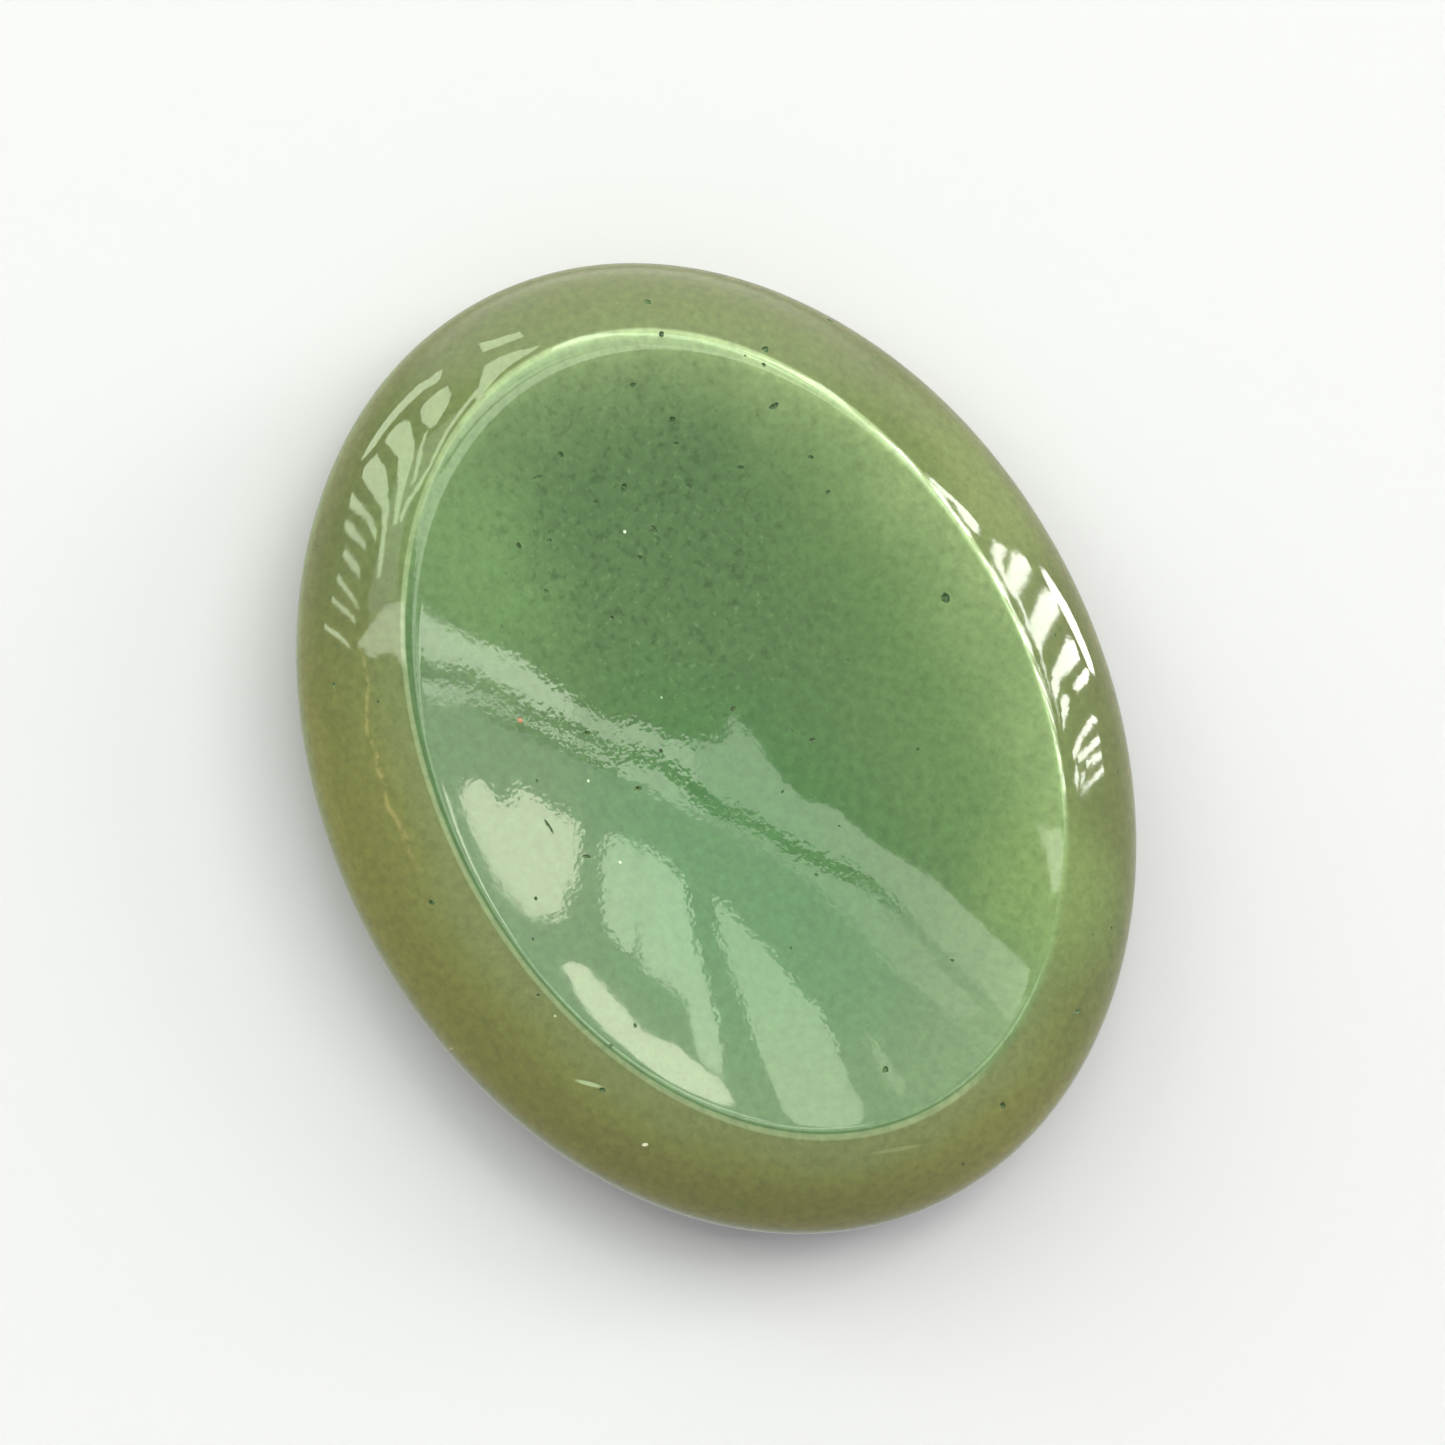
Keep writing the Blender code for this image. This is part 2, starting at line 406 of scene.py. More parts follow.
for side in (BROWN_AND_WARM_LIT_SIDE, GREEN_SIDE):
    stops = [(height * MM / RAMP_HEIGHT, colour) for height, colour in side]
    rim_tones.append(
        add_node(aventurine, "ShaderNodeValToRGB", stops=stops, Fac=rim_height.outputs[0])
    )
outward_way = add_node(aventurine, "ShaderNodeVectorMath", {"operation": "NORMALIZE"},
                       _0=in_ovals.outputs[0])
green_way = add_node(aventurine, "ShaderNodeVectorMath", TOWARDS,
                     _0=outward_way.outputs[0], _1=GREEN_WAY)
green_share = add_node(aventurine, "ShaderNodeMapRange", SOFTLY, Value=green_way.outputs["Value"],
                       From_Min=GREEN_FADE[0], From_Max=GREEN_FADE[1])
rim_olive = add_node(aventurine, "ShaderNodeMix", BLEND, _0=green_share.outputs[0],
                     _6=rim_tones[0].outputs[0], _7=rim_tones[1].outputs[0])
on_rim = add_node(aventurine, "ShaderNodeMapRange", SOFTLY, Value=ridge_reach.outputs["Value"],
                  From_Min=RIM_FADE[0], From_Max=RIM_FADE[1])

# Clearer, bluer green towards one end of the hollow
TEAL_AT = (5.5 * MM, -2 * MM, 5 * MM)
TEAL_SIZE = (11 * MM, 8 * MM, 6 * MM)
TEAL_FADE = (1.1, 0.3)
teal_zone = add_node(aventurine, "ShaderNodeMapping", ZONE, Vector=drifted.outputs[0],
                     Location=TEAL_AT, Scale=TEAL_SIZE)
from_teal = add_node(aventurine, "ShaderNodeVectorMath", DISTANCE, _0=teal_zone.outputs[0])
teal_share = add_node(aventurine, "ShaderNodeMapRange", SOFTLY, Value=from_teal.outputs["Value"],
                      From_Min=TEAL_FADE[0], From_Max=TEAL_FADE[1])
hollow_colour = add_node(aventurine, "ShaderNodeMix", BLEND, _0=teal_share.outputs[0],
                         _6=hollow_green.outputs[2], _7=linear(TEAL_GREEN))
body = add_node(aventurine, "ShaderNodeMix", BLEND, _0=on_rim.outputs[0],
                _6=hollow_colour.outputs[2], _7=rim_olive.outputs[2])

# Three places on the rim and by it where the body is paler: each by its place along and across,
# its half length and half width, all in millimetres, and its colour
PALE_ZONES = [
    (-5.0, 15.2, 7.5, 2.6, "7c8758"), (12.1, 9.8, 6.0, 4.0, "788c54"),
    (-12.0, -6.0, 8.0, 5.0, "6c8a58"),
]
ZONE_HEIGHT = 6.5 * MM
ZONE_HALF_HEIGHT = 4 * MM
ZONE_FADE = (1.0, 0.2)
ZONE_STRENGTH = 0.6
for along, across, half_length, half_width, colour in PALE_ZONES:
    zone = add_node(aventurine, "ShaderNodeMapping", ZONE, Vector=drifted.outputs[0],
                    Location=(along * MM, across * MM, ZONE_HEIGHT),
                    Scale=(half_length * MM, half_width * MM, ZONE_HALF_HEIGHT))
    from_zone = add_node(aventurine, "ShaderNodeVectorMath", DISTANCE, _0=zone.outputs[0])
    in_zone = add_node(aventurine, "ShaderNodeMapRange", SOFTLY, Value=from_zone.outputs["Value"],
                       From_Min=ZONE_FADE[0], From_Max=ZONE_FADE[1], To_Max=ZONE_STRENGTH)
    body = add_node(aventurine, "ShaderNodeMix", BLEND, _0=in_zone.outputs[0],
                    _6=body.outputs[2], _7=linear(colour))

# The ridge shows pale, painted light for light that it lets through: as a wide band on the side that
# faces the windows, and as a line nearly all round. Inside it, on the other side, runs a dark line.
# Each is given by how far out it starts, is full, is full still and ends, by the way that it faces,
# by the dot products where it fades in and is full, and by its colour and strength.
RIDGE_LINES = [
    (0.972, 0.994, 0.998, 1.008, (-0.62, 0.79, 0), 0.1, 0.5, "b9d2a0", 0.2),
    (0.988, 0.994, 1.002, 1.010, (-0.8, -0.6, 0), -0.95, -0.85, "c3cfa5", 0.3),
    (0.960, 0.970, 0.980, 0.988, (-0.1, -1.0, 0), 0.55, 0.85, "4f6e45", 0.35),
]
for start, full, still, end, way, fades, whole, colour, strength in RIDGE_LINES:
    inside = add_node(aventurine, "ShaderNodeMapRange", SOFTLY, Value=ridge_reach.outputs["Value"],
                      From_Min=start, From_Max=full, To_Max=strength)
    outside = add_node(aventurine, "ShaderNodeMapRange", SOFTLY, Value=ridge_reach.outputs["Value"],
                       From_Min=end, From_Max=still)
    faced = add_node(aventurine, "ShaderNodeVectorMath", TOWARDS,
                     _0=in_true_ovals.outputs[0], _1=way)
    this_side = add_node(aventurine, "ShaderNodeMapRange", SOFTLY, Value=faced.outputs["Value"],
                         From_Min=fades, From_Max=whole)
    across_line = add_node(aventurine, "ShaderNodeMath", TIMES,
                           _0=inside.outputs[0], _1=outside.outputs[0])
    line_share = add_node(aventurine, "ShaderNodeMath", TIMES,
                          _0=across_line.outputs[0], _1=this_side.outputs[0])
    body = add_node(aventurine, "ShaderNodeMix", BLEND, _0=line_share.outputs[0],
                    _6=body.outputs[2], _7=linear(colour))

# Grains, drawn a little coarser than they are so that they show: uneven tone all over, and dark
# specks and pale flecks that are densest at one end of the hollow
GRAIN = 0.42 * MM
GRAIN_TONES = (0.87, 1.13)
grains = add_node(aventurine, "ShaderNodeTexNoise", Vector=place,
                  Scale=1 / GRAIN, Detail=3.0, Roughness=0.6)
grain_tone = add_node(aventurine, "ShaderNodeMapRange", Value=grains.outputs[0],
                      From_Min=NOISE_LOW, From_Max=NOISE_HIGH,
                      To_Min=GRAIN_TONES[0], To_Max=GRAIN_TONES[1])
grained = add_node(aventurine, "ShaderNodeVectorMath", {"operation": "SCALE"},
                   _0=body.outputs[2], Scale=grain_tone.outputs[0])
PATCH_AT = (-9 * MM, 1 * MM, 6 * MM)
PATCH_SIZE = (11 * MM, 7.5 * MM, 4 * MM)
PATCH_FADE = (1.2, 0.3)
OUTSIDE_PATCH = 0.25
patch = add_node(aventurine, "ShaderNodeMapping", ZONE, Vector=drifted.outputs[0],
                 Location=PATCH_AT, Scale=PATCH_SIZE)
from_patch = add_node(aventurine, "ShaderNodeVectorMath", DISTANCE, _0=patch.outputs[0])
patch_share = add_node(aventurine, "ShaderNodeMapRange", SOFTLY, Value=from_patch.outputs["Value"],
                       From_Min=PATCH_FADE[0], From_Max=PATCH_FADE[1], To_Min=OUTSIDE_PATCH)
SPECK = 0.4 * MM
SPECK_FADE = (0.52, 0.72)
SPECK_STRENGTH = 0.5
specks = add_node(aventurine, "ShaderNodeTexNoise", Vector=place, Scale=1 / SPECK, Detail=2.0)
speck_share = add_node(aventurine, "ShaderNodeMapRange", SOFTLY, Value=specks.outputs[0],
                       From_Min=SPECK_FADE[0], From_Max=SPECK_FADE[1], To_Max=SPECK_STRENGTH)
mottling = add_node(aventurine, "ShaderNodeMath", TIMES,
                    _0=speck_share.outputs[0], _1=patch_share.outputs[0])
mottled = add_node(aventurine, "ShaderNodeMix", BLEND, _0=mottling.outputs[0],
                   _6=grained.outputs[0], _7=linear(GRAIN_DARK))
FLECK = 0.3 * MM
FLECK_FADE = (0.6, 0.8)
FLECK_STRENGTH = 0.22
flecks = add_node(aventurine, "ShaderNodeTexNoise", Vector=place, Scale=1 / FLECK, Detail=1.0)
fleck_share = add_node(aventurine, "ShaderNodeMapRange", SOFTLY, Value=flecks.outputs[0],
                       From_Min=FLECK_FADE[0], From_Max=FLECK_FADE[1], To_Max=FLECK_STRENGTH)
flecking = add_node(aventurine, "ShaderNodeMath", TIMES,
                    _0=fleck_share.outputs[0], _1=patch_share.outputs[0])
tone = add_node(aventurine, "ShaderNodeMix", BLEND, _0=flecking.outputs[0],
                _6=mottled.outputs[2], _7=linear(GRAIN_PALE))

# Single marks: a spot of rust, pale spots that are painted glints of mica, dark and pale streaks and
# rubbed places. Each is listed by its place along and across the stone, half length, half width,
# turn, colour and strength.
MARKS = [
    (-5.0, -7.6, 0.13, 0.10, 20, "b4623f", 0.9), (-10.3, 0.3, 0.08, 0.07, 0, "e8f0d8", 0.9),
    (13.9, -11.2, 0.14, 0.08, 70, "f0ead0", 0.9), (6.4, -16.7, 0.14, 0.06, 80, "c8b88a", 0.8),
    (7.1, -12.2, 0.07, 0.06, 0, "c8d8b8", 0.7), (2.5, -6.5, 0.08, 0.06, 30, "c8d8b8", 0.8),
    (-1.3, -6.1, 0.08, 0.06, 0, "c8d8b8", 0.8), (-3.1, -1.5, 0.07, 0.05, 0, "c8d8b8", 0.7),
    (4.3, -6.5, 0.70, 0.07, 100, "4d6b40", 0.7), (10.4, -12.2, 0.65, 0.10, 48, "b9c9a0", 0.7),
    (19.1, -1.6, 1.3, 0.10, 72, "949e6c", 0.4), (17.5, 8.4, 1.60, 0.16, 122, "5d6438", 0.6),
]
MARK_HALF_HEIGHT = 3 * MM
MARK_FADE = (1.2, 0.6)
for along, across, half_length, half_width, turn, colour, strength in MARKS:
    mark = add_node(aventurine, "ShaderNodeMapping", ZONE, Vector=place,
                    Location=(along * MM, across * MM, ZONE_HEIGHT),
                    Rotation=(0, 0, math.radians(turn)),
                    Scale=(half_length * MM, half_width * MM, MARK_HALF_HEIGHT))
    from_mark = add_node(aventurine, "ShaderNodeVectorMath", DISTANCE, _0=mark.outputs[0])
    in_mark = add_node(aventurine, "ShaderNodeMapRange", SOFTLY, Value=from_mark.outputs["Value"],
                       From_Min=MARK_FADE[0], From_Max=MARK_FADE[1], To_Max=strength)
    tone = add_node(aventurine, "ShaderNodeMix", BLEND, _0=in_mark.outputs[0],
                    _6=tone.outputs[2], _7=linear(colour))

# A tan streak runs along the brown side of the rim, side by side with the ridge: a painted reflection
# of something warm-coloured beside the stone. It is broken up by the grains and fades out at both
# ends.
TAN_REFLECTION_OUT = 1.13
TAN_REFLECTION_FADE = (0.011, 0.003)
TAN_REFLECTION_STRENGTH = 0.55
TAN_REFLECTION_AT = (-6.2 * MM, -13.6 * MM, ZONE_HEIGHT)
TAN_REFLECTION_SIZE = (6.5 * MM, 3 * MM, 3 * MM)
TAN_REFLECTION_END_FADE = (1.0, 0.5)
TAN_REFLECTION_CRUMBS = (0.35, 0.6)
reflection_middle = add_node(aventurine, "ShaderNodeMath", {"operation": "SUBTRACT"},
                       _0=out_from_heart.outputs["Value"], _1=TAN_REFLECTION_OUT)
off_reflection = add_node(aventurine, "ShaderNodeMath", {"operation": "ABSOLUTE"},
                    _0=reflection_middle.outputs[0])
in_reflection = add_node(aventurine, "ShaderNodeMapRange", SOFTLY, Value=off_reflection.outputs[0],
                   From_Min=TAN_REFLECTION_FADE[0], From_Max=TAN_REFLECTION_FADE[1], To_Max=TAN_REFLECTION_STRENGTH)
reflection_spot = add_node(aventurine, "ShaderNodeMapping", ZONE, Vector=place,
                     Location=TAN_REFLECTION_AT, Scale=TAN_REFLECTION_SIZE)
off_spot = add_node(aventurine, "ShaderNodeVectorMath", DISTANCE, _0=reflection_spot.outputs[0])
reflection_part = add_node(aventurine, "ShaderNodeMapRange", SOFTLY, Value=off_spot.outputs["Value"],
                     From_Min=TAN_REFLECTION_END_FADE[0], From_Max=TAN_REFLECTION_END_FADE[1])
reflection_crumbs = add_node(aventurine, "ShaderNodeMapRange", Value=grains.outputs[0],
                       From_Min=TAN_REFLECTION_CRUMBS[0], From_Max=TAN_REFLECTION_CRUMBS[1])
reflection_length = add_node(aventurine, "ShaderNodeMath", TIMES,
                       _0=in_reflection.outputs[0], _1=reflection_part.outputs[0])
reflection_share = add_node(aventurine, "ShaderNodeMath", TIMES,
                      _0=reflection_length.outputs[0], _1=reflection_crumbs.outputs[0])
tone = add_node(aventurine, "ShaderNodeMix", BLEND, _0=reflection_share.outputs[0],
                _6=tone.outputs[2], _7=linear(REFLECTED_TAN))
aventurine.node_tree.links.new(tone.outputs[2], shader.inputs["Base Color"])

# The skin left by the buffing wheel: fine orange peel all over, drawn coarser than it is so that
# it shows, a gritty strip through the hollow that the wheel reached less, and a varying gloss
PEEL = 0.5 * MM
PEEL_HEIGHT = 0.0015 * MM
GRIT = 0.3 * MM
GRIT_HEIGHT = 0.003 * MM
GRITTY_AT = (3.5 * MM, -3.5 * MM, 6 * MM)
GRITTY_TURN = math.radians(24)
GRITTY_SIZE = (17 * MM, 6.5 * MM, 5 * MM)
GRITTY_FADE = (1.1, 0.6)
HAZE = (0.03, 0.06)
peel = add_node(aventurine, "ShaderNodeTexNoise", Vector=place, Scale=1 / PEEL, Detail=2.0)
grit = add_node(aventurine, "ShaderNodeTexNoise", Vector=place, Scale=1 / GRIT, Detail=1.0)
gritty = add_node(aventurine, "ShaderNodeMapping", ZONE, Vector=drifted.outputs[0],
                  Location=GRITTY_AT, Rotation=(0, 0, GRITTY_TURN), Scale=GRITTY_SIZE)
from_gritty = add_node(aventurine, "ShaderNodeVectorMath", DISTANCE, _0=gritty.outputs[0])
grit_share = add_node(aventurine, "ShaderNodeMapRange", SOFTLY, Value=from_gritty.outputs["Value"],
                      From_Min=GRITTY_FADE[0], From_Max=GRITTY_FADE[1])
peel_skin = add_node(aventurine, "ShaderNodeBump", Height=peel.outputs[0], Distance=PEEL_HEIGHT)
skin = add_node(aventurine, "ShaderNodeBump", Height=grit.outputs[0], Distance=GRIT_HEIGHT,
                Strength=grit_share.outputs[0], Normal=peel_skin.outputs[0])
aventurine.node_tree.links.new(skin.outputs[0], shader.inputs["Normal"])
haze = add_node(aventurine, "ShaderNodeMapRange", Value=clouds.outputs[0],
                From_Min=NOISE_LOW, From_Max=NOISE_HIGH, To_Min=HAZE[0], To_Max=HAZE[1])
aventurine.node_tree.links.new(haze.outputs[0], shader.inputs["Roughness"])
shader.inputs["IOR"].default_value = QUARTZ_IOR
shader.inputs["Subsurface Weight"].default_value = TRANSLUCENCE
shader.inputs["Subsurface Radius"].default_value = LIGHT_DEPTH_BY_COLOUR
shader.inputs["Subsurface Scale"].default_value = LIGHT_DEPTH
stone.data.materials.clear()
stone.data.materials.append(aventurine)

# Quartz as it broke, inside the pits that the wheel doesn't reach: dull and crumbly, and dark, partly
# from polishing grime and partly as painted shade in the pits
CRUMB = 0.12 * MM
CRUMB_AND_SHADE_TONES = [(0.3, "24361a"), (0.7, "5a7a48")]
BREAK_ANGLE = math.radians(35)
BREAK_ROUGHNESS = 0.6
broken = bpy.data.materials.new("broken_quartz_in_pits")
broken.use_nodes = True
broken_shader = broken.node_tree.nodes["Principled BSDF"]
broken_place = add_node(broken, "ShaderNodeTexCoord").outputs["Object"]
crumbs = add_node(broken, "ShaderNodeTexNoise", Vector=broken_place, Scale=1 / CRUMB, Detail=2.0)
crumb_colour = add_node(broken, "ShaderNodeValToRGB", stops=CRUMB_AND_SHADE_TONES, Fac=crumbs.outputs[0])
broken.node_tree.links.new(crumb_colour.outputs[0], broken_shader.inputs["Base Color"])
broken_shader.inputs["Roughness"].default_value = BREAK_ROUGHNESS
pit_cutter.data.materials.append(broken)

select_nothing()
stone.select_set(True)
bpy.context.view_layer.objects.active = stone
pitting = stone.modifiers.new("pits", "BOOLEAN")
pitting.object = pit_cutter
pitting.operation = "DIFFERENCE"
pitting.material_mode = "TRANSFER"
bpy.ops.object.modifier_apply(modifier=pitting.name)
bpy.data.objects.remove(pit_cutter)
bpy.ops.object.shade_smooth_by_angle(angle=BREAK_ANGLE)

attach(stone, "root")
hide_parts("palm_stone")


# The floor
# A wide sheet of matt white paper that the stone rests on, and which is no part of it. It lies a
# hair under the flat spot, so that the two never fight for one plane.
FLOOR_SIZE = 6.0
FLOOR_GAP = 0.02 * MM
PAPER_WHITE = "cac6ce"
PAPER_ROUGHNESS = 0.9
PAPER_SHEEN = 0.1
select_nothing()
bpy.ops.mesh.primitive_plane_add(size=FLOOR_SIZE, location=(0, 0, -FLOOR_GAP))
floor = bpy.context.object
floor.name = "paper_floor"
floor.visible_glossy = False
paper = bpy.data.materials.new("matt_white_paper")
paper.use_nodes = True
paper_shader = paper.node_tree.nodes["Principled BSDF"]
paper_shader.inputs["Base Color"].default_value = linear(PAPER_WHITE)
paper_shader.inputs["Roughness"].default_value = PAPER_ROUGHNESS
paper_shader.inputs["Specular IOR Level"].default_value = PAPER_SHEEN
floor.data.materials.append(paper)


# The camera
# It looks down on the stone from close above, leaning a little, with the stone's long side turned
# to run down to the right. The picture is square, 1445 px on a side.
PICTURE_PX = 1445
STONE_LENGTH_PX = 1014
STONE_AT_PX = (719.1, 747.0)
CAMERA_DISTANCE = 0.220
CAMERA_LEAN = math.radians(7)
CAMERA_ROLL = math.radians(62.9)
SENSOR_MM = 36

px_per_metre = STONE_LENGTH_PX / (2 * HALF_LENGTH)
towards_camera = Vector((0, -math.sin(CAMERA_LEAN), math.cos(CAMERA_LEAN)))
along_stone = (Vector((1, 0, 0)) - towards_camera * towards_camera.x).normalized()
across_stone = towards_camera.cross(along_stone)
picture_right = math.cos(CAMERA_ROLL) * along_stone + math.sin(CAMERA_ROLL) * across_stone
picture_up = -math.sin(CAMERA_ROLL) * along_stone + math.cos(CAMERA_ROLL) * across_stone
aim = Vector((0, 0, GIRDLE_HEIGHT))
aim -= picture_right * (STONE_AT_PX[0] - PICTURE_PX / 2) / px_per_metre
aim += picture_up * (STONE_AT_PX[1] - PICTURE_PX / 2) / px_per_metre

lens = bpy.data.cameras.new("camera")
lens.sensor_width = SENSOR_MM
lens.lens = SENSOR_MM * px_per_metre * CAMERA_DISTANCE / PICTURE_PX
lens.clip_start = 0.01
lens.clip_end = 20
camera = bpy.data.objects.new("camera", lens)
camera.matrix_world = Matrix.Translation(aim + towards_camera * CAMERA_DISTANCE) @ Matrix(
    (picture_right, picture_up, towards_camera)
).transposed().to_4x4()
bpy.context.scene.collection.objects.link(camera)
bpy.context.scene.camera = camera


# The light
# A dim white room with a paler wall on the far side, and soft panels that hang above the stone,
# cut to the shapes of windows and their slats. The polish mirrors them. A corner's place is given
# by how the polish that shows it to the camera leans, across and up the picture. Polish at 0 faces
# the camera, and polish at 1 leans away by 45 degrees and shows what lies at a right angle to it.
PANEL_DISTANCE = 2.0


def mirrored(across, up):
    """The direction that the camera sees in polish that leans like this."""
    off = across**2 + up**2
    sideways = picture_right * 2 * across + picture_up * 2 * up
    return (sideways + towards_camera * (1 - off)) / (1 + off)


def hang_panel(name, corners, glow, colour="ffffff", distance=PANEL_DISTANCE):
    """Hangs a glowing panel with these corners, this many times as bright as white paper."""
    select_nothing()
    bpy.ops.mesh.primitive_circle_add(vertices=len(corners), radius=1, fill_type="NGON")
    panel = bpy.context.object
    panel.name = name
    for vertex, corner in zip(panel.data.vertices, corners):
        vertex.co = mirrored(*corner) * distance
    panel.visible_camera = False
    sheet = bpy.data.materials.new(name)
    sheet.use_nodes = True
    sheet.node_tree.nodes.clear()
    lamp = add_node(sheet, "ShaderNodeEmission", Color=linear(colour), Strength=glow)
    add_node(sheet, "ShaderNodeOutputMaterial", Surface=lamp.outputs[0])
    panel.data.materials.append(sheet)


# Pale wall between the windows, as the hollow mirrors it, and beside the slats at the left: how
# bright it is, its tint, how far off it hangs and its corners
WALLS = [
    ("window_field", 2.4, "f4fff4", 3.2, [
        (-0.19, 0.19), (0.0, 0.132), (0.208, 0.112), (0.47, 0.095), (0.48, 0.2), (0.44, 0.29),
        (0.36, 0.345), (0.2, 0.37), (0.05, 0.34), (-0.09, 0.26),
    ]),
    ("left_field", 1.7, "ffffff", 2.6, [
        (-0.403, 0.316), (-0.337, 0.325), (-0.276, 0.336), (-0.21, 0.37), (-0.22, 0.33),
        (-0.245, 0.28), (-0.25, 0.24), (-0.265, 0.22), (-0.285, 0.19), (-0.285, 0.13),
        (-0.27, 0.095), (-0.325, 0.09), (-0.39, 0.08), (-0.42, 0.1), (-0.4, 0.13), (-0.39, 0.17),
        (-0.4, 0.22),
    ]),
]
for name, glow, tint, distance, corners in WALLS:
    hang_panel(name, corners, glow, tint, distance)

# The window sill that crosses the hollow as two bright stripes, and its end that shows on the rim:
# brightness and corners of each length of it
SILL_TINT = "f6ffec"
SILLS = [
    (6.5, [
        (0.5, 0.046), (0.43, 0.046), (0.365, 0.048), (0.335, 0.049), (0.332, 0.054), (0.323, 0.056),
        (0.307, 0.058), (0.294, 0.062), (0.294, 0.08), (0.348, 0.079), (0.357, 0.076),
        (0.387, 0.075), (0.403, 0.072), (0.422, 0.073), (0.445, 0.077), (0.47, 0.079),
    ]),
    (5.0, [
        (0.294, 0.062), (0.264, 0.07), (0.252, 0.071), (0.219, 0.063), (0.193, 0.069),
        (0.165, 0.066), (0.165, 0.096), (0.187, 0.087), (0.225, 0.083), (0.263, 0.086),
        (0.294, 0.08),
    ]),
    (3.7, [
        (0.165, 0.066), (0.139, 0.058), (0.117, 0.034), (0.106, 0.029), (0.085, 0.04),
        (0.079, 0.059), (0.07, 0.07), (0.05, 0.081), (0.018, 0.08), (-0.023, 0.096),
        (-0.076, 0.107), (-0.107, 0.125), (-0.132, 0.137), (-0.15, 0.147), (-0.12, 0.2),
        (-0.093, 0.179), (-0.068, 0.161), (-0.015, 0.129), (0.01, 0.119), (0.052, 0.116),
        (0.104, 0.106), (0.148, 0.102), (0.165, 0.096),
    ]),
    (6.0, [
        (0.47, 0.09), (0.448, 0.089), (0.405, 0.085), (0.3, 0.092), (0.3, 0.1), (0.325, 0.099),
        (0.358, 0.093), (0.406, 0.093), (0.451, 0.102), (0.47, 0.104),
    ]),
    (5.0, [
        (0.3, 0.092), (0.266, 0.095), (0.207, 0.093), (0.169, 0.11), (0.169, 0.12), (0.213, 0.116),
        (0.285, 0.1), (0.3, 0.1),
    ]),
    (3.6, [
        (0.169, 0.11), (0.153, 0.113), (0.114, 0.115), (0.019, 0.131), (-0.004, 0.14),
        (-0.044, 0.162), (-0.088, 0.193), (-0.055, 0.208), (-0.034, 0.191), (-0.009, 0.184),
        (0.054, 0.145), (0.068, 0.138), (0.112, 0.127), (0.169, 0.12),
    ]),
    (5.0, [
        (-0.478, 0.052), (-0.325, 0.088), (-0.249, 0.09), (-0.19, 0.085), (-0.19, 0.04),
        (-0.263, 0.034), (-0.284, 0.044), (-0.393, 0.04),
    ]),
]
for number, (glow, corners) in enumerate(SILLS):
    hang_panel(f"sill_{number}", corners, glow, SILL_TINT)

# The panes below the sill, as the hollow mirrors them, and the last three as the ridge does:
# brightness, tint and corners
PANES = [
    (4.5, "f1ffe6", [
        (0.045, 0.233), (0.031, 0.257), (0.02, 0.269), (0.022, 0.276), (0.031, 0.28),
        (0.042, 0.266), (0.047, 0.242),
    ]),
    (6.0, "f1ffe6", [
        (0.183, 0.179), (0.163, 0.185), (0.126, 0.206), (0.098, 0.23), (0.088, 0.231),
        (0.082, 0.251), (0.079, 0.287), (0.073, 0.296), (0.082, 0.325), (0.1, 0.345), (0.15, 0.345),
        (0.167, 0.321), (0.188, 0.207),
    ]),
    (7.0, "f1ffe6", [
        (0.252, 0.163), (0.237, 0.163), (0.213, 0.174), (0.217, 0.222), (0.215, 0.274),
        (0.217, 0.294), (0.224, 0.317), (0.237, 0.315), (0.247, 0.309), (0.247, 0.26),
        (0.28, 0.255), (0.29, 0.251), (0.275, 0.214),
    ]),
    (7.0, "f1ffe6", [
        (0.296, 0.173), (0.281, 0.16), (0.256, 0.163), (0.263, 0.187), (0.286, 0.232),
        (0.297, 0.247), (0.323, 0.23),
    ]),
    (8.8, "feffe8", [
        (0.447, 0.16), (0.428, 0.154), (0.415, 0.158), (0.41, 0.166), (0.402, 0.166),
        (0.389, 0.158), (0.382, 0.149), (0.346, 0.159), (0.326, 0.159), (0.32, 0.163),
        (0.334, 0.199), (0.344, 0.212), (0.358, 0.222), (0.361, 0.23), (0.373, 0.237),
        (0.404, 0.245), (0.425, 0.237), (0.431, 0.231), (0.451, 0.179), (0.452, 0.168),
    ]),
    (9.5, "feffe8", [
        (0.386, 0.273), (0.371, 0.266), (0.357, 0.266), (0.327, 0.282), (0.309, 0.298),
        (0.289, 0.303), (0.272, 0.303), (0.245, 0.316), (0.227, 0.32), (0.216, 0.335),
        (0.24, 0.345), (0.3, 0.345), (0.345, 0.315), (0.375, 0.29),
    ]),
    (7.0, "f4ffec", [
        (-0.06, 0.44), (-0.02, 0.49), (0.03, 0.46), (0.085, 0.345), (0.0, 0.345), (-0.04, 0.36),
    ]),
    (8.0, "f8ffec", [
        (0.17, 0.36), (0.34, 0.36), (0.39, 0.46), (0.36, 0.49), (0.29, 0.46), (0.22, 0.4),
    ]),
    (14.0, "ffffff", [(0.35, 0.355), (0.42, 0.34), (0.47, 0.39), (0.45, 0.42), (0.4, 0.41)]),
]
for number, (glow, tint, corners) in enumerate(PANES):
    hang_panel(f"pane_{number}", corners, glow, tint)


def ribbon(places, width, end_width):
    """Corners of a curved strip that runs through these places and changes its width."""
    left, right = [], []
    for number, spot in enumerate(places):
        before = places[max(number - 1, 0)]
        after = places[min(number + 1, len(places) - 1)]
        along = Vector((after[0] - before[0], after[1] - before[1])).normalized()
        width_here = part_way(width, end_width, number / (len(places) - 1))
        beside = Vector((-along.y, along.x)) * width_here / 2
        left.append(Vector(spot) + beside)
        right.append(Vector(spot) - beside)
    return left + right[::-1]


